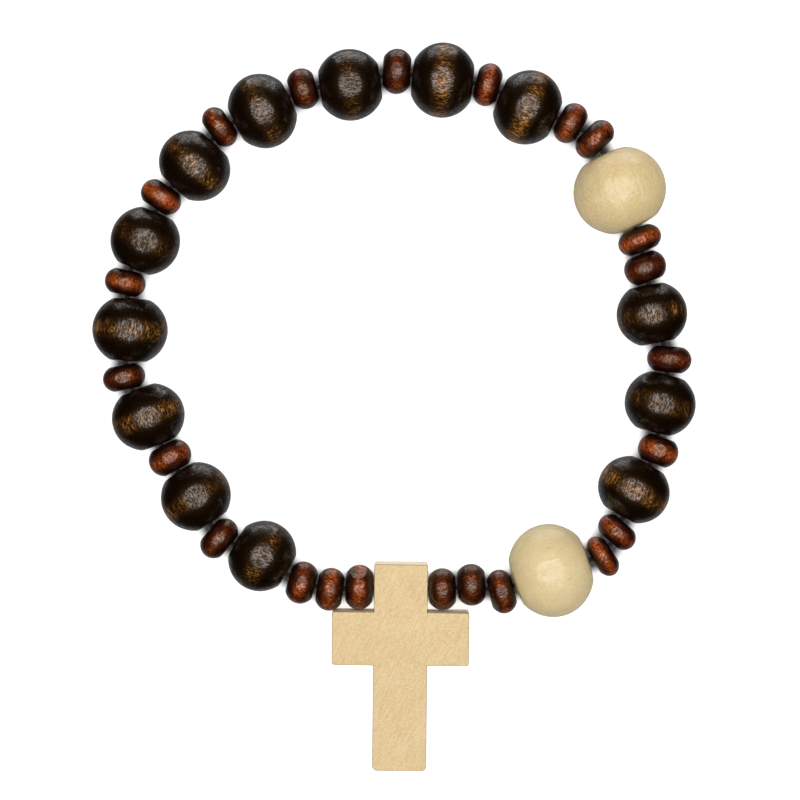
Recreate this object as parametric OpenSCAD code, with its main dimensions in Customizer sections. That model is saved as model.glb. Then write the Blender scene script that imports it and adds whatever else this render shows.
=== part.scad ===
// Stretch bracelet of turned wooden beads with a flat wooden cross strung among them,
// lying by itself on a surface. +Z is up and +Y runs from the cross to the far side of
// the loop. The origin is the middle of the loop, on the surface that it lies on.

/* [Dark beads] */
// Diameter of a dark bead
dark_d = 8; // [7.5:0.1:8.5]
// Length of a dark bead along its hole
dark_len = 6.7; // [6.4:0.05:6.9]
// Diameter of the face round each mouth of its hole
dark_face_d = 3.7; // [3.2:0.1:4]
// Radius to which that face is domed
dark_dome_r = 12; // [10:1:16]

/* [Natural beads] */
// Diameter of a natural bead
natural_d = 10; // [9.5:0.1:10.5]
// Length of a natural bead along its hole
natural_len = 8.5; // [8:0.1:8.8]
// Diameter of the face round each mouth of its hole
natural_face_d = 4.9; // [4.4:0.1:5.2]
// Radius to which that face is domed
natural_dome_r = 12; // [10:1:16]

/* [Spacer beads] */
// Diameter of a spacer bead
spacer_d = 4.65; // [4.4:0.05:4.65]
// Length of a spacer bead along its hole
spacer_len = 2.9; // [2.7:0.05:3]
// Diameter of the face round each mouth of its hole
spacer_face_d = 2.9; // [2.6:0.1:3.1]
// Radius to which that face is domed
spacer_dome_r = 12; // [10:1:16]

/* [Cross] */
// Height of the cross from its foot to its top end
cross_h = 22.1; // [21:0.1:24]
// Span of the side arms
cross_span = 14.6; // [13:0.1:16]
// Width of the upright below the side arms
cross_upright_w = 5.75; // [5:0.05:6.5]
// Width of the top arm, which was sanded a little narrower
cross_top_w = 5.7; // [5.5:0.05:6]
// Height of the side arms
cross_arm_h = 5.7; // [5:0.1:6.5]
// Thickness of the cross
cross_t = 3.5; // [3:0.1:4]
// Distance from the top end down to the middle of the hole
cross_hole_drop = 2.6; // [2.2:0.1:3.2]
// Distance from the middle of the hole down to the side arms
cross_arm_drop = 2.5; // [2.5:0.05:3]
// Radius of the corners at the top end and at the ends of the side arms
cross_corner_r = 0.3; // [0.2:0.05:0.6]
// Radius of the corners at the foot
cross_foot_r = 0.5; // [0.3:0.05:0.8]
// Angle by which the cord lifts the top of the cross off the surface
cross_tilt = 4; // [3:0.5:5]

/* [Elastic cord] */
// Diameter of the elastic cord
cord_d = 0.5; // [0.4:0.05:0.55]
// Diameter of the hole in each bead and in the cross
hole_d = 2; // [2:0.05:2.1]

/* [Stringing] */
// Least gap left between two neighbours on the string
bead_gap = 0.06; // [0.05:0.01:0.15]

/* [Hidden] */
$fn = 64;

// The string, clockwise from the cross as seen from above. Each row holds the kind of
// piece, how far its middle lies outside the loop's mean circle in mm, how far the
// line of its hole leans off the loop's run in degrees, and how much longer and wider
// than its kind it was turned in mm.
STRING = [
    ["cross", -2.05, -0.6, 0, 0],
    ["spacer", -1.7, 7, 0.15, 0.2],
    ["spacer", -0.8, 7, 0.05, 0],
    ["spacer", -0.5, 7, 0.15, -0.05],
    ["dark", -1.1, 2, -0.2, -0.3],
    ["spacer", 0.2, 2, 0, 0.1],
    ["dark", -1, -4, -0.1, -0.4],
    ["spacer", -0.9, 1, 0.25, 0.1],
    ["dark", -0.4, 4, -0.2, -0.1],
    ["spacer", 1.2, 3, -0.15, -0.05],
    ["dark", 0.3, -2, 0.15, 0.1],
    ["spacer", 1.4, -1, -0.1, -0.2],
    ["dark", 0.6, -3, -0.05, -0.5],
    ["spacer", 1.1, -3, 0, 0],
    ["dark", 0.1, -3, -0.2, 0],
    ["spacer", 1.1, -5, -0.2, 0.05],
    ["dark", -0.2, -5, -0.1, 0.15],
    ["spacer", 0, -4, 0.1, -0.2],
    ["dark", -1, -4, 0, -0.3],
    ["spacer", -0.1, -4, 0.2, 0.25],
    ["dark", -0.7, 3, -0.05, 0.1],
    ["spacer", 0, 4, -0.15, 0.05],
    ["dark", -0.5, 5, -0.05, 0.1],
    ["spacer", 0.6, 9, -0.05, -0.1],
    ["spacer", 1, -1, -0.1, 0.15],
    ["natural", -0.5, -9, 0, 0],
    ["spacer", -1.1, 0, -0.2, 0.15],
    ["spacer", -1.5, 5, 0.25, -0.05],
    ["dark", -1.7, 5, -0.25, -0.4],
    ["spacer", 0.1, -1, 0, 0.15],
    ["dark", -0.1, -1, -0.25, -0.35],
    ["spacer", 1.3, 3, 0.2, -0.2],
    ["dark", 1, 3, -0.3, -0.15],
    ["spacer", 2.3, 0, -0.2, -0.1],
    ["spacer", 3, -10, -0.45, 0.05],
    ["natural", 0.8, -14, -0.15, 0.05],
    ["spacer", 0.4, -8, -0.1, 0.15],
    ["spacer", -1.3, -13, 0.2, -0.15],
    ["spacer", -1.5, -8, 0.1, -0.1],
];
COUNT = len(STRING);

function kind(i) = STRING[(i + COUNT) % COUNT][0];
function outset(i) = STRING[(i + COUNT) % COUNT][1];
function lean(i) = STRING[(i + COUNT) % COUNT][2];
function longer(i) = STRING[(i + COUNT) % COUNT][3];
function wider(i) = STRING[(i + COUNT) % COUNT][4];

function is_spacer(i) = kind(i) == "spacer";
function diameter(i) =
    wider(i) + (kind(i) == "dark" ? dark_d : kind(i) == "natural" ? natural_d : spacer_d);
function length_of(i) =
    longer(i) + (
        kind(i) == "dark" ? dark_len :
        kind(i) == "natural" ? natural_len :
        kind(i) == "cross" ? cross_top_w : spacer_len
    );
function face_of(i) =
    kind(i) == "dark" ? dark_face_d : kind(i) == "natural" ? natural_face_d : spacer_face_d;

// Radius of the dome that a piece turns to its neighbours. The side of the cross is
// flat, which a very large radius stands for.
FLAT_SIDE_R = 1000;
function dome_of(i) =
    kind(i) == "dark" ? dark_dome_r :
    kind(i) == "natural" ? natural_dome_r :
    kind(i) == "cross" ? FLAT_SIDE_R : spacer_dome_r;

// Distance between the middles of two neighbours, for a mean radius of r and a first
// guess at that distance. Each piece lies within the sphere of the dome that it turns
// to the other, and the two spheres are kept bead_gap apart.
function spaced(i, r, guess) =
    let (
        half_turn = guess / r * 90 / PI,
        climb = asin((outset(i + 1) - outset(i)) / guess),
        behind = lean(i) + half_turn - climb,
        ahead = lean(i + 1) - half_turn - climb,
        back = dome_of(i) - length_of(i) / 2,
        front = dome_of(i + 1) - length_of(i + 1) / 2,
        between = dome_of(i) + dome_of(i + 1) + bead_gap,
        aside = back * sin(behind) + front * sin(ahead)
    )
    sqrt(between * between - aside * aside) - back * cos(behind) - front * cos(ahead);
function reach(i, r) = spaced(i, r, spaced(i, r, (length_of(i) + length_of(i + 1)) / 2));

// Angle at the loop's middle between two neighbours, for a mean radius of r
function step(i, r) =
    let (a = r + outset(i), b = r + outset(i + 1), d = reach(i, r))
    acos((a * a + b * b - d * d) / (2 * a * b));
function steps_before(i, r) = i <= 0 ? 0 : step(i - 1, r) + steps_before(i - 1, r);

// The mean radius at which the string just closes, found by halving
function closing_radius(low, high, rounds) =
    let (r = (low + high) / 2)
    rounds == 0 ? r :
    steps_before(COUNT, r) > 360 ? closing_radius(r, high, rounds - 1) : closing_radius(low, r, rounds - 1);
LOOP_R = closing_radius(15, 60, 30);

BEARINGS = [for (i = [0 : COUNT - 1]) -90 - steps_before(i, LOOP_R)];
function bearing(i) = BEARINGS[(i + COUNT) % COUNT];
function heading(i) = bearing(i) - 90 + lean(i);

// Beads that reach the surface rest on it, and the spacers follow the cord between them
cross_foot = cross_h - cross_hole_drop;
function resting_height(i) =
    kind(i) == "cross" ? cross_foot * sin(cross_tilt) + cross_t / 2 * cos(cross_tilt) : diameter(i) / 2;
function spacers_behind(i) = is_spacer(i) ? 1 + spacers_behind(i - 1) : 0;
function spacers_ahead(i) = is_spacer(i) ? 1 + spacers_ahead(i + 1) : 0;
function height(i) =
    let (back = spacers_behind(i), ahead = spacers_ahead(i), low = resting_height(i - back))
    !is_spacer(i) ? resting_height(i) : low + (resting_height(i + ahead) - low) * back / (back + ahead);

function middle(i) =
    let (r = LOOP_R + outset(i))
    [r * cos(bearing(i)), r * sin(bearing(i)), height(i)];
function along(i) = [cos(heading(i)), sin(heading(i)), 0];

// The cord runs straight through each piece, from halfway between its mouth and its
// neighbour's at one end to the same place at the other.
function crossing(i) =
    (middle(i) + along(i) * length_of(i) / 2 + middle(i + 1) - along(i + 1) * length_of(i + 1) / 2) / 2;
CORD_SIDES = 8;
// Distance of each ring from the crossing that it rounds off
CORD_BEND = 0.45;
function unit(v) = v / norm(v);
CORD_PATH = [
    for (i = [0 : COUNT - 1])
        let (from = crossing(i - 1), to = crossing(i), run = unit(to - from))
        each [from + run * CORD_BEND, to - run * CORD_BEND]
];
RINGS = len(CORD_PATH);
function ring(i) =
    let (
        run = unit(CORD_PATH[(i + 1) % RINGS] - CORD_PATH[(i + RINGS - 1) % RINGS]),
        side = unit(cross(run, [0, 0, 1])),
        rise = cross(side, run)
    )
    [for (k = [0 : CORD_SIDES - 1])
        CORD_PATH[i] + cord_d / 2 * (cos(k * 360 / CORD_SIDES) * side + sin(k * 360 / CORD_SIDES) * rise)];
function corner(i, k) = (i % RINGS) * CORD_SIDES + k % CORD_SIDES;

// Names: the pieces of each kind are numbered clockwise from the cross
function count_to(i) = len([for (k = [0 : i]) if (kind(k) == kind(i)) k]);
function two_digits(n) = n < 10 ? str("0", n) : str(n);
function name_of(i) = kind(i) == "cross" ? "cross" : str(kind(i), "_bead_", two_digits(count_to(i)));

// A bead turned on its hole: a barrel arc between the rims of its two domed faces
module turned_bead(d, length, face_d, dome_r) {
    drop = (d - face_d) / 2;
    dome_middle = length / 2 - dome_r;
    rim_level = dome_middle + sqrt(dome_r * dome_r - face_d * face_d / 4);
    arc_r = (drop * drop + rim_level * rim_level) / (2 * drop);
    rotate_extrude()
        intersection() {
            translate([d / 2 - arc_r, 0]) circle(arc_r);
            translate([0, dome_middle]) circle(dome_r);
            translate([0, -dome_middle]) circle(dome_r);
            translate([hole_d / 2, -length / 2]) square([d, length]);
        }
}

module bead(i) {
    tint = kind(i) == "dark" ? "#2a170c" : kind(i) == "natural" ? "#ead9ae" : "#5c2212";
    color(tint)
        translate(middle(i))
            rotate([0, 90, heading(i)])
                turned_bead(diameter(i), length_of(i), face_of(i), dome_of(i));
}

// A rectangle from the origin's level upwards, centred in X, with round corners
module board(w, h, low_r, high_r) {
    difference() {
        translate([-w / 2, 0]) square([w, h]);
        for (side = [-1, 1]) {
            translate([side * w / 2, 0]) corner_waste(low_r, side, -1);
            translate([side * w / 2, h]) corner_waste(high_r, side, 1);
        }
    }
}

// What is cut off a square corner to round it
module corner_waste(r, x_side, y_side) {
    spare = 1;
    difference() {
        translate([x_side > 0 ? -r : -spare, y_side > 0 ? -r : -spare]) square(r + spare);
        translate([-x_side * r, -y_side * r]) circle(r);
    }
}

// The cross about the middle of its hole, flat, before it is tilted
module cross_outline() {
    arm_top = -cross_arm_drop;
    translate([0, arm_top - cross_arm_h])
        board(cross_span, cross_arm_h, cross_corner_r, cross_corner_r);
    translate([0, -cross_foot])
        board(cross_upright_w, cross_foot + arm_top - cross_arm_h / 2, cross_foot_r, 0);
    translate([0, arm_top - cross_arm_h / 2])
        board(cross_top_w, cross_hole_drop + cross_arm_drop + cross_arm_h / 2, 0, cross_corner_r);
}

module cross_piece() {
    color("#e6ca9c")
        translate(middle(0))
            rotate([0, 0, heading(0) + 180])
                rotate([cross_tilt, 0, 0])
                    difference() {
                        translate([0, 0, -cross_t / 2]) linear_extrude(cross_t) cross_outline();
                        rotate([0, 90, 0]) cylinder(h = cross_span, d = hole_d, center = true);
                    }
}

module elastic_cord() {
    points = [for (i = [0 : RINGS - 1]) each ring(i)];
    faces = [
        for (i = [0 : RINGS - 1], k = [0 : CORD_SIDES - 1])
            each [
                [corner(i, k), corner(i + 1, k), corner(i + 1, k + 1)],
                [corner(i, k), corner(i + 1, k + 1), corner(i, k + 1)]
            ]
    ];
    color("#1c1815") polyhedron(points, faces);
}

for (i = [0 : COUNT - 1])
    union() {
        if (kind(i) == "cross") cross_piece();
        else bead(i);
    }
elastic_cord();
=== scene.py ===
"""A stretch bracelet of turned wooden beads with a flat wooden cross, on a white light table."""

import math
import random

import bpy
from bpy.props import FloatProperty, FloatVectorProperty, IntProperty, PointerProperty
from mathutils import Matrix, Quaternion, Vector


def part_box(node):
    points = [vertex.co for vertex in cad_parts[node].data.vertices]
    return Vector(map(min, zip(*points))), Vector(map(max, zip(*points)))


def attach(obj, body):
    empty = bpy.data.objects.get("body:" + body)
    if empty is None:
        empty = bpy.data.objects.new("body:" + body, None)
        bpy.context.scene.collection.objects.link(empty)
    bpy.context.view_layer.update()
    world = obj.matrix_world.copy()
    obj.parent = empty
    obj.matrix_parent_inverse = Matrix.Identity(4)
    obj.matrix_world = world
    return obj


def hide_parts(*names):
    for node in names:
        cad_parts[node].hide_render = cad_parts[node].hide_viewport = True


bl_info = {
    "name": "Wooden Bead Bracelet",
    "version": (1, 0, 0),
    "blender": (4, 5, 0),
    "location": "View3D > Sidebar > Bracelet",
    "description": "Models the beads, the cross and the cord of a bracelet around its frame",
    "category": "Object",
}

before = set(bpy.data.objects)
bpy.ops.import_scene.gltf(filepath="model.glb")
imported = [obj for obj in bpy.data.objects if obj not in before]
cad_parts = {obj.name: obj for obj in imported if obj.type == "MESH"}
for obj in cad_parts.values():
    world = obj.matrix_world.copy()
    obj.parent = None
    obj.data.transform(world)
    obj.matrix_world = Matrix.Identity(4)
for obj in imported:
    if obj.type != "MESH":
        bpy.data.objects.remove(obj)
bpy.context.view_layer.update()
MM = 0.001

DARK_BEADS, NATURAL_BEADS, SPACER_BEADS = (
    sorted(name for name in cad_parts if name.startswith(kind + "_bead"))
    for kind in ("dark", "natural", "spacer")
)

# Radius of the dome of a bead's face round its bore, by kind
DOMES = {"dark": 12 * MM, "natural": 12 * MM, "spacer": 12 * MM}

# Points this close together become one, and points this near to a radius or level lie on it
MERGED = 0.001 * MM
NEAR = 0.002 * MM

# Places where tumbling has rubbed a bead flat: bearing of the flat in degrees from the picture's
# right, how far it leans from straight up in degrees, and how deep it goes in millimetres
FACETS = {
    "spacer_bead_01": [(95, 53, 0.27)],
    "spacer_bead_03": [(160, 40, 0.12)],
    "spacer_bead_05": [(60, 3, 0.08)],
    "spacer_bead_06": [(0, 0, 0.14)],
    "spacer_bead_18": [(90, 2, 0.14)],
    "spacer_bead_21": [(90, 2, 0.13)],
}

# How open a bead's grain is against the others of its kind, from -1 to 1: an open grain takes the
# stain in stripes and so looks lighter and more orange
OPENNESS = {
    "dark_bead_01": -0.4,
    "dark_bead_03": 0.1,
    "dark_bead_04": 0.2,
    "dark_bead_05": -0.8,
    "dark_bead_07": -0.3,
    "dark_bead_08": -0.8,
    "dark_bead_09": 0.4,
    "dark_bead_10": 0.4,
    "dark_bead_11": -0.2,
    "dark_bead_12": -0.4,
    "dark_bead_13": 0.4,
    "spacer_bead_01": 0.7,
    "spacer_bead_02": 0.8,
    "spacer_bead_03": 0.3,
    "spacer_bead_04": -0.8,
    "spacer_bead_05": 0.2,
    "spacer_bead_06": -0.3,
    "spacer_bead_07": 0.7,
    "spacer_bead_08": 1,
    "spacer_bead_09": -0.2,
    "spacer_bead_10": -0.5,
    "spacer_bead_11": -0.6,
    "spacer_bead_12": 0.9,
    "spacer_bead_13": 0.9,
    "spacer_bead_14": 0.7,
    "spacer_bead_15": 1,
    "spacer_bead_16": -0.8,
    "spacer_bead_17": -0.3,
    "spacer_bead_18": 0.8,
    "spacer_bead_19": 0.3,
    "spacer_bead_20": 1,
    "spacer_bead_22": -0.5,
    "spacer_bead_23": -0.5,
    "natural_bead_01": 0.3,
    "natural_bead_02": -0.8,
}
# How far an open grain lifts the noise of the fibres and of the broad figure
FIBRES_OPENED = 0.05
FIGURE_OPENED = 0.1

# Noise on a turned bead, in waves per millimetre. The fibres are bundles about 0.12 mm wide, drawn
# so coarse because single fibres are ten times finer. The figure is that of growth rings cut at
# changing angles, 1 to 2 mm apart. The lacquer has shrunk over the grain in curled ripples, whose
# scale is that of its kind of bead.
FIBRES = {"Scale": 8.0, "Detail": 2, "Roughness": 0.6, "Distortion": 0.3}
FIGURE = {"Scale": 0.7, "Detail": 3, "Roughness": 0.6, "Distortion": 0.8}
RIPPLES = {"Detail": 2, "Roughness": 0.5, "Distortion": 1}
# Setting of a Map Range node that changes smoothly from its low to its high value
SMOOTH = {"interpolation_type": "SMOOTHSTEP"}

# The cross: the angle of the belt's scratches to the X axis, the width rubbed off its edges, and
# how sharp an edge has to be for that
SCRATCH_ANGLE = math.radians(62)
RUBBED_OFF = 0.1 * MM
EDGE_ANGLE = math.radians(40)

# The stage, in metres: the level of the beads, at which the picture's width is taken, the softboxes
# overhead and beyond the loop, and the lit panel under the table's top
BEAD_LEVEL = 4 * MM
KEY_HEIGHT = 0.62
KEY_SIZE = (1.04, 0.96)
FAR_PLACE = (0, 0.4, -0.145)
FAR_SIZE = (0.46, 0.37)
PANEL_DEPTH = 0.071
PANEL_SIZE = (0.2, 0.2)
PANEL_RADIANCE = 0.27
# The table's top, and the share of the light on it that it gives back
TABLE_SIZE = 6
TABLE_WHITE = 0.5
# The shade under the string: half width of its strip, the share of the way in from the strip's edge
# over which it deepens, how bright the table is left there, and how high the strip lies over it
SHADE_HALF_WIDTH = 2.1 * MM
SHADE_EDGE = 0.6
SHADE_LEFT = 0.04
SHADE_LIFT = 0.02 * MM


def linear(hex_colour):
    """Turns an sRGB hex value such as #804020 into Blender's linear red, green and blue."""
    values = [int(hex_colour[i : i + 2], 16) / 255 for i in (1, 3, 5)]
    return [v / 12.92 if v <= 0.04045 else ((v + 0.055) / 1.055) ** 2.4 for v in values]


def only(piece):
    """Makes a piece the only selected and the active object."""
    bpy.ops.object.select_all(action="DESELECT")
    piece.select_set(True)
    bpy.context.view_layer.objects.active = piece


def add_node(tree, kind, inputs, out=0, **settings):
    """Adds a node with its settings, links the inputs given as sockets and returns one output."""
    node = tree.nodes.new(kind)
    for name, value in settings.items():
        setattr(node, name, value)
    for key, value in inputs.items():
        if isinstance(value, bpy.types.NodeSocket):
            tree.links.new(value, node.inputs[key])
        else:
            node.inputs[key].default_value = value
    return node.outputs[out] if node.outputs else node


def new_material(name):
    """Starts an empty material."""
    material = bpy.data.materials.new(name)
    material.use_nodes = True
    material.node_tree.nodes.clear()
    return material


def turned_wood(tree, ripples_per_mm, drawn):
    """Grain of a bead turned along the grain, in millimetres about its own bore, so that it turns
    with the bead. The smaller drawn is than 1, the further the grain is drawn out along the bore.

    Returns the distance from the bead's middle along the bore, the fibres, the broad figure and
    the ripples of the lacquer.
    """
    place = add_node(tree, "ShaderNodeAttribute", {}, out="Vector", attribute_name="turning")
    own = add_node(tree, "ShaderNodeAttribute", {}, out="Fac", attribute_name="own")
    openness = add_node(tree, "ShaderNodeAttribute", {}, out="Fac", attribute_name="openness")
    height = add_node(tree, "ShaderNodeSeparateXYZ", {0: place}, out=2)
    from_middle = add_node(tree, "ShaderNodeMath", {0: height}, operation="ABSOLUTE")
    drawn_out = add_node(
        tree, "ShaderNodeVectorMath", {0: place, 1: (1, 1, drawn)}, operation="MULTIPLY"
    )
    fibres, figure, ripples = (
        add_node(
            tree,
            "ShaderNodeTexNoise",
            {"Vector": drawn_out, "W": own, **pattern},
            noise_dimensions="4D",
        )
        for pattern in (FIBRES, FIGURE, {"Scale": ripples_per_mm, **RIPPLES})
    )
    fibres, figure = (
        add_node(
            tree, "ShaderNodeMath", {0: openness, 1: opened, 2: grain}, operation="MULTIPLY_ADD"
        )
        for opened, grain in ((FIBRES_OPENED, fibres), (FIGURE_OPENED, figure))
    )
    return from_middle, fibres, figure, ripples


def stained_bead(
    name,
    colours,
    band,
    bright_from,
    soaked,
    gleam_level,
    ripples_per_mm,
    coat_roughness,
    coat_ior,
):
    """Stained wood under gloss lacquer.

    The stain is thin in patches of a band round the bead's widest place, where the fibres show
    through, and soaks in towards the bore ends, where they are cut across. The light colour of the
    band is partly this thin stain and partly painted sheen, which stands in for the shine of the
    fibres round the widest place. The lacquer has sunk into the pores, which break up the shine
    with fine curled lines. Under it the fibres themselves gleam, in their own colour and softer.
    The band and the two distances from the bead's middle between which the stain soaks in are in
    millimetres.
    """
    material = new_material(name)
    tree = material.node_tree
    end, body, glow, gleam = ((*colour, 1) for colour in colours)
    from_middle, fibres, figure, ripples = turned_wood(tree, ripples_per_mm, drawn=0.35)
    # The figure makes the edge of the band waver
    wavering = add_node(
        tree, "ShaderNodeMath", {0: figure, 1: -band, 2: from_middle}, operation="MULTIPLY_ADD"
    )
    fade = 0.6 * band
    in_band = add_node(
        tree, "ShaderNodeMapRange", {0: wavering, 1: -fade, 2: fade, 3: 1.0, 4: 0.0}, **SMOOTH
    )
    bright_fibres = add_node(
        tree, "ShaderNodeMapRange", {0: fibres, 1: bright_from, 2: bright_from + 0.18}, **SMOOTH
    )
    patches = add_node(
        tree, "ShaderNodeMapRange", {0: figure, 1: 0.4, 2: 0.62, 3: 0.25, 4: 1.0}, **SMOOTH
    )
    # The glow in the band is partly thin stain and partly painted sheen of the fibres
    thin_stain_and_sheen_share = in_band
    for share in (bright_fibres, patches):
        thin_stain_and_sheen_share = add_node(tree, "ShaderNodeMath", {0: thin_stain_and_sheen_share, 1: share}, operation="MULTIPLY")
    stain = add_node(
        tree, "ShaderNodeMix", {0: thin_stain_and_sheen_share, 6: body, 7: glow}, out=2, data_type="RGBA"
    )
    # The pores run halfway up the ripples. The lacquer doesn't shine over them, and stain has
    # pooled in them.
    off_pore = add_node(tree, "ShaderNodeMath", {0: ripples, 1: 0.5}, operation="SUBTRACT")
    off_pore = add_node(tree, "ShaderNodeMath", {0: off_pore}, operation="ABSOLUTE")
    shine = add_node(tree, "ShaderNodeMapRange", {0: off_pore, 1: 0.01, 2: 0.11}, **SMOOTH)
    pooled = add_node(
        tree, "ShaderNodeMath", {0: shine, 1: -0.7, 2: 0.7}, operation="MULTIPLY_ADD"
    )
    to_end = add_node(
        tree, "ShaderNodeMapRange", {0: from_middle, 1: soaked[0], 2: soaked[1]}, **SMOOTH
    )
    soaked_in = add_node(tree, "ShaderNodeMath", {0: to_end, 1: pooled}, operation="MAXIMUM")
    colour = add_node(
        tree, "ShaderNodeMix", {0: soaked_in, 6: stain, 7: end}, out=2, data_type="RGBA"
    )
    lacquer_height = add_node(
        tree, "ShaderNodeMath", {0: fibres, 1: 0.25, 2: ripples}, operation="MULTIPLY_ADD"
    )
    lacquer_normal = add_node(
        tree, "ShaderNodeBump", {"Height": lacquer_height, "Strength": 1.0, "Distance": 0.03 * MM}
    )
    fibre_normal = add_node(
        tree, "ShaderNodeBump", {"Height": fibres, "Strength": 1.0, "Distance": 0.05 * MM}
    )
    shader = add_node(
        tree,
        "ShaderNodeBsdfPrincipled",
        {
            "Base Color": colour,
            "Roughness": 0.35,
            "Specular IOR Level": gleam_level,
            "Specular Tint": gleam,
            "Coat Weight": shine,
            "Coat Roughness": coat_roughness,
            "Coat IOR": coat_ior,
            "Normal": fibre_normal,
            "Coat Normal": lacquer_normal,
        },
    )
    add_node(tree, "ShaderNodeOutputMaterial", {"Surface": shader})
    return material


def dark_stained_beech(colours):
    """Beech stained nearly black, with golden fibres along the bore where the stain is thin; their
    colour is partly painted sheen of the fibres.
    """
    return stained_bead(
        "dark_stained_beech",
        (colours.dark_end, colours.dark_body, colours.dark_thin_stain_and_sheen, colours.dark_gleam),
        band=1.2,
        bright_from=0.45,
        soaked=(0.5, 1.5),
        gleam_level=0.2,
        ripples_per_mm=3.6,
        coat_roughness=0.07,
        coat_ior=1.62,
    )


def red_stained_beech(colours):
    """Beech stained red-brown: orange where the stain is thin, which is partly painted sheen of the
    fibres, and dark where it fills the pores.
    """
    return stained_bead(
        "red_stained_beech",
        (colours.red_end, colours.red_body, colours.red_thin_stain_and_sheen, colours.red_gleam),
        band=0.9,
        bright_from=0.41,
        soaked=(0.4, 1.3),
        gleam_level=0.32,
        ripples_per_mm=4.2,
        coat_roughness=0.08,
        coat_ior=1.55,
    )


def lacquered_maple(colours):
    """Pale maple under clear lacquer: beige, with fine brown flecks along the bore and a soft shine
    in wide ripples."""
    material = new_material("lacquered_maple")
    tree = material.node_tree
    light, shade = (*colours.natural_light, 1), (*colours.natural_shade, 1)
    fleck = (*colours.natural_fleck, 1)
    _, fibres, figure, ripples = turned_wood(tree, ripples_per_mm=1.1, drawn=0.3)
    shaded = add_node(tree, "ShaderNodeMapRange", {0: figure, 1: 0.32, 2: 0.68}, **SMOOTH)
    ground = add_node(
        tree, "ShaderNodeMix", {0: shaded, 6: light, 7: shade}, out=2, data_type="RGBA"
    )
    flecked = add_node(
        tree, "ShaderNodeMapRange", {0: fibres, 1: 0.42, 2: 0.78, 3: 0.0, 4: 0.6}, **SMOOTH
    )
    colour = add_node(
        tree, "ShaderNodeMix", {0: flecked, 6: ground, 7: fleck}, out=2, data_type="RGBA"
    )
    lacquer_height = add_node(
        tree, "ShaderNodeMath", {0: fibres, 1: 0.15, 2: ripples}, operation="MULTIPLY_ADD"
    )
    lacquer_normal = add_node(
        tree, "ShaderNodeBump", {"Height": lacquer_height, "Strength": 1.0, "Distance": 0.14 * MM}
    )
    shine = add_node(
        tree, "ShaderNodeMapRange", {0: ripples, 1: 0.35, 2: 0.65, 3: 0.35, 4: 0.9}, **SMOOTH
    )
    shader = add_node(
        tree,
        "ShaderNodeBsdfPrincipled",
        {
            "Base Color": colour,
            "Roughness": 0.55,
            "Specular IOR Level": 0.1,
            "Coat Weight": shine,
            "Coat Roughness": 0.13,
            "Coat IOR": 1.6,
            "Coat Normal": lacquer_normal,
        },
    )
    add_node(tree, "ShaderNodeOutputMaterial", {"Surface": shader})
    return material


def bare_maple(name, light, shade, stroke_angle, stroke_contrast):
    """Bare maple, sanded. Scratches of the belt run one way across it, a little darker and lighter
    than the wood, over a fine speckle of cut vessels. It has no shine."""
    material = new_material(name)
    tree = material.node_tree
    place = add_node(tree, "ShaderNodeTexCoord", {}, out="Object")
    along_scratch = add_node(
        tree,
        "ShaderNodeMapping",
        {"Vector": place, "Rotation": (0, 0, -stroke_angle)},
        vector_type="POINT",
    )
    # The belt's grit leaves scratches 2 mm long and 0.03 mm wide, drawn 0.12 mm wide so that they
    # show. The cut vessels are 0.07 mm wide and drawn 0.2 mm wide. The wood changes its tone every
    # 3 mm.
    across, along = 8 / MM, 0.45 / MM
    drawn_out = add_node(
        tree,
        "ShaderNodeVectorMath",
        {0: along_scratch, 1: (along, across, across)},
        operation="MULTIPLY",
    )
    scratches, vessels, blotches = (
        add_node(
            tree,
            "ShaderNodeTexNoise",
            {"Vector": vector, "Scale": scale, "Detail": detail, "Roughness": roughness},
        )
        for vector, scale, detail, roughness in (
            (drawn_out, 1.0, 2, 0.7),
            (place, 5 / MM, 2, 0.7),
            (place, 0.35 / MM, 3, 0.6),
        )
    )
    tone = scratches
    for pattern, share in ((vessels, 1.3), (blotches, 0.35)):
        tone = add_node(
            tree, "ShaderNodeMath", {0: pattern, 1: share, 2: tone}, operation="MULTIPLY_ADD"
        )
    tone = add_node(
        tree, "ShaderNodeMapRange", {0: tone, 1: 1.0, 2: 1.65, 3: 0.0, 4: stroke_contrast}, **SMOOTH
    )
    colour = add_node(tree, "ShaderNodeMix", {0: tone, 6: light, 7: shade}, out=2, data_type="RGBA")
    scratch_normal = add_node(
        tree, "ShaderNodeBump", {"Height": scratches, "Strength": 1.0, "Distance": 0.01 * MM}
    )
    shader = add_node(
        tree,
        "ShaderNodeBsdfPrincipled",
        {
            "Base Color": colour,
            "Roughness": 0.72,
            "Specular IOR Level": 0.3,
            "Normal": scratch_normal,
        },
    )
    add_node(tree, "ShaderNodeOutputMaterial", {"Surface": shader})
    return material


def black_elastic(colours):
    """Covered elastic: matt black with the fine uneven pitch of its braid."""
    material = new_material("black_elastic")
    tree = material.node_tree
    place = add_node(tree, "ShaderNodeTexCoord", {}, out="Object")
    # The braid's threads are 0.1 mm apart, and lighter where they are worn
    braid = add_node(tree, "ShaderNodeTexNoise", {"Vector": place, "Scale": 9 / MM, "Detail": 1})
    dark = (*colours.elastic, 1)
    worn = (*(2.5 * c for c in colours.elastic), 1)
    colour = add_node(tree, "ShaderNodeMix", {0: braid, 6: dark, 7: worn}, out=2, data_type="RGBA")
    normal = add_node(
        tree, "ShaderNodeBump", {"Height": braid, "Strength": 1.0, "Distance": 0.02 * MM}
    )
    shader = add_node(
        tree, "ShaderNodeBsdfPrincipled", {"Base Color": colour, "Roughness": 0.6, "Normal": normal}
    )
    add_node(tree, "ShaderNodeOutputMaterial", {"Surface": shader})
    return material


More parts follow.
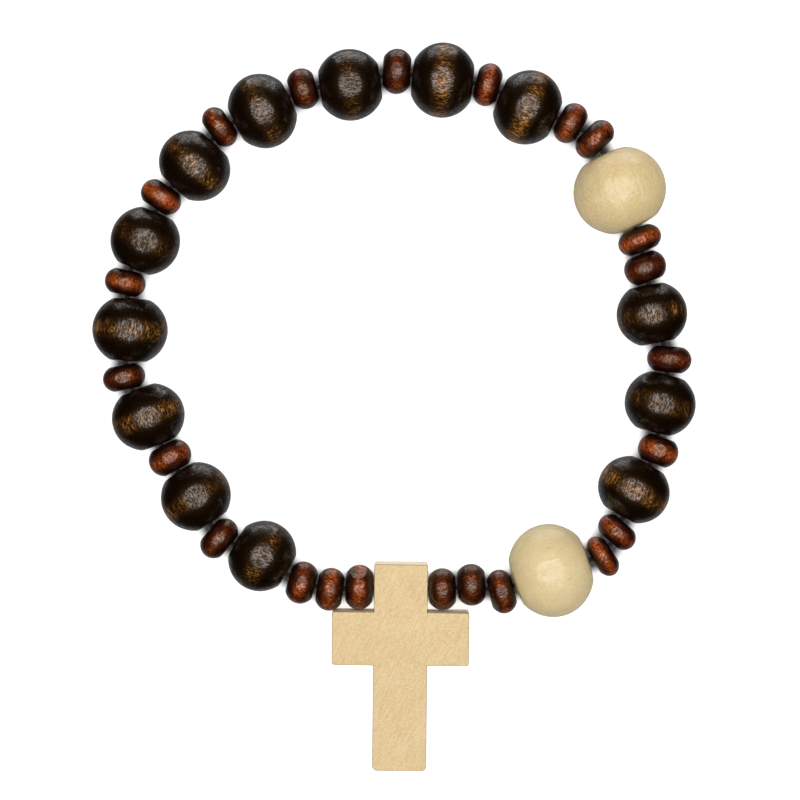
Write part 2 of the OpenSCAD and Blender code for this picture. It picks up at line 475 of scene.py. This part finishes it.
def measure_bead(name):
    """Reads a bead's middle, axis, diameter, bore and faces from its solid in the frame.

    The points nearest to its middle are those where the bore opens, and the rim of the face is the
    widest place on the dome round it.
    """
    low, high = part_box(name)
    middle = (low + high) / 2
    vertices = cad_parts[name].data.vertices
    places = {tuple(round(x, 7) for x in vertex.co - middle) for vertex in vertices}
    spokes = [Vector(place) for place in sorted(places)]
    nearest = min(spokes, key=lambda spoke: spoke.length)
    # The points of a mouth are equally near, but for rounding
    as_near = 1.002 * nearest.length
    mouth = [s for s in spokes if s.length < as_near and s.dot(nearest) > 0]
    end = sum(mouth, Vector()) / len(mouth)
    axis = end.normalized()
    bore_r = (nearest - end).length
    dome_r = DOMES[name.split("_")[0]]
    dome_level = end.length - math.sqrt(dome_r**2 - bore_r**2)
    dome = [s for s in spokes if abs((s - dome_level * axis).length - dome_r) < NEAR]
    rim_level = min(s.dot(axis) for s in dome if s.dot(axis) > 0)
    return {
        "middle": middle,
        "axis": axis,
        "radius": (high.z - low.z) / 2,
        "bore_r": bore_r,
        "mouth_level": end.length,
        "dome_r": dome_r,
        "dome_level": dome_level,
        "rim_r": math.sqrt(dome_r**2 - (rim_level - dome_level) ** 2),
        "rim_level": rim_level,
    }


def turn_master(size, settings):
    """Turns one bead about the Z axis, as on a lathe, and returns it."""
    radius, rim_r, rim_level, bore_r = (size[k] for k in ("radius", "rim_r", "rim_level", "bore_r"))
    drop = radius - rim_r
    arc_r = (drop**2 + rim_level**2) / (2 * drop)
    barrel_middle = (radius - arc_r, 0, 0)
    cuts = [
        (barrel_middle, (-1, 0, 0)),
        ((0, 0, rim_level), (0, 0, 1)),
        ((0, 0, -rim_level), (0, 0, -1)),
    ]
    arcs = [draw_arc(barrel_middle, arc_r, settings.arc_points, cuts)]
    for side in (-1, 1):
        cuts = [
            ((0, 0, 0), (0, 0, -side)),
            ((bore_r, 0, 0), (-1, 0, 0)),
            ((rim_r, 0, 0), (1, 0, 0)),
        ]
        dome_middle = (0, 0, side * size["dome_level"])
        arcs.append(draw_arc(dome_middle, size["dome_r"], settings.dome_points, cuts))
    bpy.ops.object.select_all(action="DESELECT")
    for arc in arcs:
        arc.select_set(True)
    master = arcs[0]
    bpy.context.view_layer.objects.active = master
    bpy.ops.object.join()
    bpy.ops.object.mode_set(mode="EDIT")
    bpy.ops.mesh.select_all(action="SELECT")
    bpy.ops.mesh.remove_doubles(threshold=MERGED)
    select_points(master, lambda point: abs(point.x - bore_r) < NEAR)
    bpy.ops.mesh.edge_face_add()
    select_points(
        master, lambda point: min(abs(point.x - bore_r), abs(abs(point.z) - rim_level)) < NEAR
    )
    bpy.ops.mesh.bevel(offset=settings.rim_softness, segments=4, affect="VERTICES")
    bpy.ops.mesh.select_all(action="SELECT")
    bpy.ops.mesh.spin(steps=settings.spin_steps, angle=math.tau, center=(0, 0, 0), axis=(0, 0, 1))
    bpy.ops.mesh.select_all(action="SELECT")
    bpy.ops.mesh.remove_doubles(threshold=MERGED)
    bpy.ops.mesh.normals_make_consistent(inside=False)
    bpy.ops.mesh.faces_shade_smooth()
    bpy.ops.object.mode_set(mode="OBJECT")
    points = [vertex.co.copy() for vertex in master.data.vertices]
    turning = master.data.attributes.new("turning", "FLOAT_VECTOR", "POINT")
    turning.data.foreach_set("vector", [c / MM for point in points for c in point])
    # Sanding leaves the rims alone and has its full depth from halfway out to the widest place
    round_side = master.vertex_groups.new(name="round_side")
    for i, point in enumerate(points):
        outwards = (math.hypot(point.x, point.y) - rim_r) / (0.5 * drop)
        round_side.add([i], min(1, max(0, outwards)), "REPLACE")
    return master


def draw_arc(middle, radius, points, cuts):
    """Draws a circle about the Y axis and keeps the arc that lies within the cuts."""
    bpy.ops.object.select_all(action="DESELECT")
    bpy.ops.mesh.primitive_circle_add(
        vertices=points, radius=radius, location=middle, rotation=(math.pi / 2, 0, 0)
    )
    bpy.ops.object.transform_apply(location=True, rotation=True, scale=True)
    arc = bpy.context.object
    bpy.ops.object.mode_set(mode="EDIT")
    for place, direction in cuts:
        cut_off(place, direction)
    bpy.ops.object.mode_set(mode="OBJECT")
    return arc


def cut_off(place, direction, fill=False):
    """In edit mode, cuts off all that lies beyond a plane."""
    bpy.ops.mesh.select_all(action="SELECT")
    bpy.ops.mesh.bisect(
        plane_co=place, plane_no=direction, clear_outer=True, use_fill=fill, threshold=0.0001 * MM
    )


def select_points(piece, wanted):
    """In edit mode, selects only the vertices for whose place wanted is true."""
    bpy.ops.mesh.select_mode(type="VERT")
    bpy.ops.mesh.select_all(action="DESELECT")
    bpy.ops.object.mode_set(mode="OBJECT")
    for vertex in piece.data.vertices:
        vertex.select = wanted(vertex.co)
    bpy.ops.object.mode_set(mode="EDIT")


def place_bead(master, master_size, name, chance):
    """Copies the master to a bead's place, at its size and turned about its bore by chance.

    Two attributes give the bead a grain of its own: where in the noise it lies, and its openness.
    """
    size = measure_bead(name)
    only(master)
    bpy.ops.object.duplicate()
    piece = bpy.context.object
    piece.name = name + "_turned"
    wide = size["radius"] / master_size["radius"]
    long = size["mouth_level"] / master_size["mouth_level"]
    spin = Quaternion((0, 0, 1), chance.uniform(0, math.tau))
    turn = size["axis"].to_track_quat("Z", "Y") @ spin
    piece.matrix_world = Matrix.LocRotScale(size["middle"], turn, (wide, wide, long))
    bpy.ops.object.transform_apply(location=True, rotation=True, scale=True)
    grain = {"own": chance.uniform(0, 90), "openness": OPENNESS.get(name, 0)}
    for label, value in grain.items():
        kept = piece.data.attributes.new(label, "FLOAT", "POINT")
        kept.data.foreach_set("value", [value] * len(piece.data.vertices))
    return piece, size


def wear_bead(piece, size, unevenness):
    """Takes the unevenness of hand sanding off the round side of a bead, and its rubbed flats."""
    waves = bpy.data.textures.get("hand_sanding") or bpy.data.textures.new("hand_sanding", "CLOUDS")
    waves.noise_scale = 2.6 * MM
    waves.noise_depth = 1
    only(piece)
    sanded = piece.modifiers.new("sanded", "DISPLACE")
    sanded.texture = waves
    sanded.texture_coords = "GLOBAL"
    sanded.mid_level = 1.0
    sanded.strength = unevenness
    sanded.vertex_group = "round_side"
    bpy.ops.object.modifier_apply(modifier=sanded.name)
    for bearing, lean, depth in FACETS.get(piece.name.removesuffix("_turned"), []):
        bearing, lean = math.radians(bearing), math.radians(lean)
        outwards = Vector(
            (math.cos(bearing) * math.sin(lean), math.sin(bearing) * math.sin(lean), math.cos(lean))
        )
        reach = max((vertex.co - size["middle"]).dot(outwards) for vertex in piece.data.vertices)
        bpy.ops.object.mode_set(mode="EDIT")
        cut_off(size["middle"] + (reach - depth * MM) * outwards, outwards, fill=True)
        bpy.ops.mesh.region_to_loop()
        bpy.ops.mesh.mark_sharp()
        bpy.ops.object.mode_set(mode="OBJECT")


def string_beads(names, material, settings, seed):
    """Turns one master, copies it to every bead of a kind and finishes each copy."""
    master_size = measure_bead(names[0])
    master = turn_master(master_size, settings)
    master.data.materials.append(material)
    chance = random.Random(seed)
    for name in names:
        piece, size = place_bead(master, master_size, name, chance)
        wear_bead(piece, size, settings.unevenness)
        finish_piece(piece, name)
    bpy.data.objects.remove(master)


def finish_piece(piece, node):
    """Makes a piece stand for its node and ride with the bracelet."""
    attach(piece, "root")
    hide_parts(node)


class BRACELET_PG_beads(bpy.types.PropertyGroup):
    """How the beads are turned."""

    rim_softness: FloatProperty(
        name="Rim softness",
        description="Width rubbed off the rim of each face and of the bore",
        default=0.2 * MM,
        min=0.02 * MM,
        max=0.3 * MM,
        unit="LENGTH",
    )
    unevenness: FloatProperty(
        name="Unevenness",
        description="How deep hand sanding has gone into the round side at most",
        default=0.05 * MM,
        min=0,
        max=0.3 * MM,
        unit="LENGTH",
    )
    arc_points: IntProperty(
        name="Arc points",
        description="Points on the full circle of the bead's outline",
        default=96,
        min=32,
    )
    dome_points: IntProperty(
        name="Dome points",
        description="Points on the full circle of each face's dome",
        default=240,
        min=60,
    )
    spin_steps: IntProperty(
        name="Spin steps",
        description="Steps in which the outline is turned round",
        default=80,
        min=16,
    )


class BRACELET_PG_colours(bpy.types.PropertyGroup):
    """Colours of the woods and the elastic."""

    dark_end: FloatVectorProperty(
        name="Dark bead, bore ends",
        description="Stain soaked into cut fibres",
        subtype="COLOR",
        default=linear("#0d0501"),
    )
    dark_body: FloatVectorProperty(
        name="Dark bead",
        description="Stain over most of the bead",
        subtype="COLOR",
        default=linear("#1c0d03"),
    )
    # Partly painted sheen: the fibres' colour also stands in for their shine round the widest place
    dark_thin_stain_and_sheen: FloatVectorProperty(
        name="Dark bead, fibres",
        description="Fibres that show where the stain is thin",
        subtype="COLOR",
        default=linear("#b47a38"),
    )
    dark_gleam: FloatVectorProperty(
        name="Dark bead, gleam",
        description="Soft shine of the fibres under the lacquer",
        subtype="COLOR",
        default=linear("#ffc98f"),
    )
    red_end: FloatVectorProperty(
        name="Spacer, bore ends",
        description="Stain soaked into cut fibres",
        subtype="COLOR",
        default=linear("#150301"),
    )
    red_body: FloatVectorProperty(
        name="Spacer",
        description="Stain over most of the spacer",
        subtype="COLOR",
        default=linear("#370f04"),
    )
    # Partly painted sheen: the fibres' colour also stands in for their shine round the widest place
    red_thin_stain_and_sheen: FloatVectorProperty(
        name="Spacer, fibres",
        description="Fibres that show where the stain is thin",
        subtype="COLOR",
        default=linear("#bd5620"),
    )
    red_gleam: FloatVectorProperty(
        name="Spacer, gleam",
        description="Soft shine of the fibres under the lacquer",
        subtype="COLOR",
        default=linear("#ffc07c"),
    )
    natural_light: FloatVectorProperty(
        name="Natural bead",
        description="Clear pale wood",
        subtype="COLOR",
        default=linear("#d6c295"),
    )
    natural_shade: FloatVectorProperty(
        name="Natural bead, rings",
        description="Wood of the growth rings",
        subtype="COLOR",
        default=linear("#d2bb89"),
    )
    natural_fleck: FloatVectorProperty(
        name="Natural bead, flecks",
        description="Short vessel strokes",
        subtype="COLOR",
        default=linear("#b08e5f"),
    )
    cross_light: FloatVectorProperty(
        name="Cross",
        description="Sanded face",
        subtype="COLOR",
        default=linear("#d8c196"),
    )
    cross_shade: FloatVectorProperty(
        name="Cross, scratches",
        description="Scratches and strokes of the face",
        subtype="COLOR",
        default=linear("#c0a070"),
    )
    # Painted light: the walls are painted paler than the face, to make up for the light they get
    # less of
    cross_wall_painted_light: FloatVectorProperty(
        name="Cross, walls",
        description="Fresh sawn walls",
        subtype="COLOR",
        default=linear("#f3e4c4"),
    )
    # Painted shade: the rounded edges are painted dark to stand in for the shade along them
    cross_edge_painted_shade: FloatVectorProperty(
        name="Cross, edges",
        description="Burnished edge between face and wall",
        subtype="COLOR",
        default=linear("#5c4122"),
    )
    elastic: FloatVectorProperty(
        name="Elastic",
        description="Cover of the elastic cord",
        subtype="COLOR",
        default=linear("#1a1613"),
    )


class BRACELET_PG_stage(bpy.types.PropertyGroup):
    """Camera and lights."""

    view_width: FloatProperty(
        name="View width",
        description="Width of the picture at the beads",
        default=85.2 * MM,
        unit="LENGTH",
    )
    view_below: FloatProperty(
        name="View below middle",
        description="How far the picture's middle is below the loop's middle",
        default=6.54 * MM,
        unit="LENGTH",
    )
    view_left: FloatProperty(
        name="View left of middle",
        description="How far the picture's middle is left of the loop's middle",
        default=0.1 * MM,
        unit="LENGTH",
    )
    camera_height: FloatProperty(
        name="Camera height",
        description="Height of the camera over the beads",
        default=0.5,
        unit="LENGTH",
    )
    key_radiance: FloatProperty(
        name="Key light",
        description="Brightness of the oval softbox overhead",
        default=2.46,
        min=0,
    )
    far_radiance: FloatProperty(
        name="Far light",
        description="Brightness of the softbox beyond the loop",
        default=1.3,
        min=0,
    )
    table_radiance: FloatProperty(
        name="Table glow",
        description="Brightness of the light table",
        default=0.78,
        min=0,
    )


class BRACELET_OT_dark_beads(bpy.types.Operator):
    """Turn the dark beads and put them on the string"""

    bl_idname = "bracelet.dark_beads"
    bl_label = "Dark Beads"

    def execute(self, context):
        scene = context.scene
        wood = dark_stained_beech(scene.bracelet_colours)
        string_beads(DARK_BEADS, wood, scene.bracelet_beads, seed=4)
        return {"FINISHED"}


class BRACELET_OT_spacer_beads(bpy.types.Operator):
    """Turn the small red-brown spacers and put them on the string"""

    bl_idname = "bracelet.spacer_beads"
    bl_label = "Spacer Beads"

    def execute(self, context):
        scene = context.scene
        wood = red_stained_beech(scene.bracelet_colours)
        string_beads(SPACER_BEADS, wood, scene.bracelet_beads, seed=7)
        return {"FINISHED"}


class BRACELET_OT_natural_beads(bpy.types.Operator):
    """Turn the large natural beads and put them on the string"""

    bl_idname = "bracelet.natural_beads"
    bl_label = "Natural Beads"

    def execute(self, context):
        scene = context.scene
        wood = lacquered_maple(scene.bracelet_colours)
        string_beads(NATURAL_BEADS, wood, scene.bracelet_beads, seed=9)
        return {"FINISHED"}


class BRACELET_OT_cross(bpy.types.Operator):
    """Make the cross, with its rounded edges painted dark round its sanded face, as painted shade
    """

    bl_idname = "bracelet.cross"
    bl_label = "Cross"

    def execute(self, context):
        colours = context.scene.bracelet_colours
        piece = bpy.data.objects.new("cross_sanded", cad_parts["cross"].data.copy())
        context.collection.objects.link(piece)
        only(piece)
        bpy.ops.object.mode_set(mode="EDIT")
        bpy.ops.mesh.select_all(action="SELECT")
        bpy.ops.mesh.remove_doubles(threshold=MERGED)
        bpy.ops.mesh.dissolve_limited(angle_limit=math.radians(1))
        bpy.ops.object.mode_set(mode="OBJECT")
        light, shade = (*colours.cross_light, 1), (*colours.cross_shade, 1)
        # The walls' colour is painted light: paler than the face, for the light the walls get less
        # of
        sawn, edge = (*colours.cross_wall_painted_light, 1), (*colours.cross_edge_painted_shade, 1)
        piece.data.materials.clear()
        for wood in (
            bare_maple("sanded_maple", light, shade, SCRATCH_ANGLE, stroke_contrast=0.7),
            bare_maple("sawn_maple_painted_light", sawn, shade, 0, stroke_contrast=0.4),
            bare_maple("edge_maple_painted_shade", edge, shade, 0, stroke_contrast=0.6),
        ):
            piece.data.materials.append(wood)
        sanded_slot, sawn_slot, edge_shade_slot = range(3)
        # The cross leans a little, so its two faces look nearly straight up and down
        for face in piece.data.polygons:
            face.material_index = sanded_slot if abs(face.normal.z) > 0.9 else sawn_slot
        # The bevel's faces take the edge colour, which is painted shade along the rounded edges
        rubbed = piece.modifiers.new("rubbed_edges", "BEVEL")
        rubbed.width = RUBBED_OFF
        rubbed.segments = 3
        rubbed.limit_method = "ANGLE"
        rubbed.angle_limit = EDGE_ANGLE
        rubbed.material = edge_shade_slot
        bpy.ops.object.modifier_apply(modifier=rubbed.name)
        bpy.ops.object.shade_smooth_by_angle(angle=math.radians(35))
        finish_piece(piece, "cross")
        return {"FINISHED"}


class BRACELET_OT_cord(bpy.types.Operator):
    """Give the elastic cord, which runs through every bore, its black cover"""

    bl_idname = "bracelet.cord"
    bl_label = "Elastic Cord"

    def execute(self, context):
        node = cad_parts["elastic_cord"]
        node.data.materials.clear()
        node.data.materials.append(black_elastic(context.scene.bracelet_colours))
        return {"FINISHED"}


class BRACELET_OT_stage(bpy.types.Operator):
    """Set the camera, the white light table and the softboxes"""

    bl_idname = "bracelet.stage"
    bl_label = "Stage"

    def execute(self, context):
        settings = context.scene.bracelet_stage
        set_camera(context, settings)
        lay_table(settings)
        middle = (0, -settings.view_below)
        facing_down, facing_loop, facing_up = (0, 0, 0), (-math.pi / 2, 0, 0), (math.pi, 0, 0)
        # A wide oval softbox over the camera, seen as the round shine on top of each bead
        key_place, key_radiance = (*middle, KEY_HEIGHT), settings.key_radiance
        add_softbox("key_softbox", key_place, facing_down, KEY_SIZE, key_radiance, "ELLIPSE")
        # An upright softbox beyond the loop, seen as the grey crescent on each bead's far side. It
        # reaches below the table's top, which lets its light through.
        far_radiance = settings.far_radiance
        add_softbox("far_softbox", FAR_PLACE, facing_loop, FAR_SIZE, far_radiance, "RECTANGLE")
        # The lit panel under the table's top, seen as the grey rim round each bead
        panel_place = (*middle, -PANEL_DEPTH)
        panel = add_softbox(
            "table_panel", panel_place, facing_up, PANEL_SIZE, PANEL_RADIANCE, "RECTANGLE"
        )
        panel.visible_diffuse = False
        context.scene.world = white_surroundings()
        context.scene.view_settings.view_transform = "Standard"
        return {"FINISHED"}


def set_camera(context, settings):
    """Puts the camera straight over the bracelet, as in the photograph."""
    height = BEAD_LEVEL + settings.camera_height
    bpy.ops.object.camera_add(location=(-settings.view_left, -settings.view_below, height))
    camera = context.object
    camera.name = "camera"
    camera.data.sensor_width = 36
    camera.data.lens = camera.data.sensor_width * settings.camera_height / settings.view_width
    context.scene.camera = camera


def lay_table(settings):
    """Lays the top of the light table: opal white acrylic, lit from below to an even, matt white.

    It is left out of gloss and shadows, so that the panel and the far softbox shine through. A
    strip on it is painted dark under the string, as a painted shadow where the beads all but close
    over it.
    """
    material = new_material("white_acrylic")
    tree = material.node_tree
    covered = add_node(tree, "ShaderNodeAttribute", {}, out="Fac", attribute_name="covered")
    white, glow = (
        add_node(
            tree,
            "ShaderNodeMapRange",
            {0: covered, 1: 0.0, 2: SHADE_EDGE, 3: level, 4: SHADE_LEFT},
            **SMOOTH,
        )
        for level in (TABLE_WHITE, settings.table_radiance)
    )
    shader = add_node(
        tree,
        "ShaderNodeBsdfPrincipled",
        {
            "Base Color": white,
            "Roughness": 0.6,
            "Specular IOR Level": 0.0,
            "Emission Color": (1, 1, 1, 1),
            "Emission Strength": glow,
        },
    )
    add_node(tree, "ShaderNodeOutputMaterial", {"Surface": shader})
    bpy.ops.object.select_all(action="DESELECT")
    bpy.ops.mesh.primitive_plane_add(size=TABLE_SIZE, location=(0, 0, 0))
    table = bpy.context.object
    table.name = "light_table"
    for piece in (table, lay_strip(SHADE_HALF_WIDTH)):
        piece.data.materials.append(material)
        piece.visible_glossy = False
        piece.visible_shadow = False


def lay_strip(half_width):
    """Lays a strip of painted shadow just over the table, from under one bead to under the next,
    all round.
    """
    boxes = [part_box(name) for name in DARK_BEADS + NATURAL_BEADS + SPACER_BEADS]
    middles = [(low + high) / 2 for low, high in boxes]
    middles.sort(key=lambda place: math.atan2(place.y, place.x))
    loop_r = sum(place.xy.length for place in middles) / len(middles)
    inside, outside = 1 - half_width / loop_r, 1 + half_width / loop_r
    bpy.ops.object.select_all(action="DESELECT")
    bpy.ops.mesh.primitive_circle_add(vertices=len(middles), radius=loop_r)
    strip = bpy.context.object
    strip.name = "shade_under_string"
    for vertex, place in zip(strip.data.vertices, middles):
        vertex.co = (inside * place.x, inside * place.y, SHADE_LIFT)
    bpy.ops.object.mode_set(mode="EDIT")
    bpy.ops.mesh.select_all(action="SELECT")
    for factor in (1 / inside, outside):
        bpy.ops.mesh.extrude_edges_move()
        bpy.ops.transform.resize(value=(factor, factor, 1), center_override=(0, 0, 0))
    bpy.ops.object.mode_set(mode="OBJECT")
    covered = strip.data.attributes.new("covered", "FLOAT", "POINT")
    edge = [0.0] * len(middles)
    covered.data.foreach_set("value", edge + [1.0] * len(middles) + edge)
    return strip


def add_softbox(name, place, turn, size, radiance, shape):
    """Adds an area light, which takes watts of four times its area for each unit of radiance."""
    bpy.ops.object.light_add(type="AREA", location=place, rotation=turn)
    light = bpy.context.object
    light.name = name
    light.data.shape = shape
    light.data.size, light.data.size_y = size
    area = size[0] * size[1] * (math.pi / 4 if shape == "ELLIPSE" else 1)
    light.data.energy = 4 * area * radiance
    light.visible_camera = False
    return light


def white_surroundings():
    """White all round, seen only directly: the softboxes and the table give the light."""
    world = bpy.data.worlds.new("white_surroundings")
    world.use_nodes = True
    world.node_tree.nodes["Background"].inputs["Color"].default_value = (1, 1, 1, 1)
    world.node_tree.nodes["Background"].inputs["Strength"].default_value = 1.0
    world.cycles_visibility.diffuse = False
    world.cycles_visibility.glossy = False
    return world


class BRACELET_PT_panel(bpy.types.Panel):
    """Sizes, colours and steps of the bracelet"""

    bl_idname = "BRACELET_PT_panel"
    bl_label = "Bead Bracelet"
    bl_space_type = "VIEW_3D"
    bl_region_type = "UI"
    bl_category = "Bracelet"

    def draw(self, context):
        for group in (
            context.scene.bracelet_beads,
            context.scene.bracelet_colours,
            context.scene.bracelet_stage,
        ):
            box = self.layout.box()
            for name in group.__annotations__:
                box.prop(group, name)
        for step in STEPS:
            self.layout.operator(step.bl_idname)


STEPS = (
    BRACELET_OT_stage,
    BRACELET_OT_dark_beads,
    BRACELET_OT_spacer_beads,
    BRACELET_OT_natural_beads,
    BRACELET_OT_cross,
    BRACELET_OT_cord,
)
CLASSES = (BRACELET_PG_beads, BRACELET_PG_colours, BRACELET_PG_stage, *STEPS, BRACELET_PT_panel)


def register():
    for entry in CLASSES:
        bpy.utils.register_class(entry)
    bpy.types.Scene.bracelet_beads = PointerProperty(type=BRACELET_PG_beads)
    bpy.types.Scene.bracelet_colours = PointerProperty(type=BRACELET_PG_colours)
    bpy.types.Scene.bracelet_stage = PointerProperty(type=BRACELET_PG_stage)


def unregister():
    del bpy.types.Scene.bracelet_stage
    del bpy.types.Scene.bracelet_colours
    del bpy.types.Scene.bracelet_beads
    for entry in reversed(CLASSES):
        bpy.utils.unregister_class(entry)


def main():
    """Makes the whole scene."""
    register()
    bpy.ops.bracelet.stage()
    bpy.ops.bracelet.dark_beads()
    bpy.ops.bracelet.spacer_beads()
    bpy.ops.bracelet.natural_beads()
    bpy.ops.bracelet.cross()
    bpy.ops.bracelet.cord()


if __name__ == "__main__":
    main()
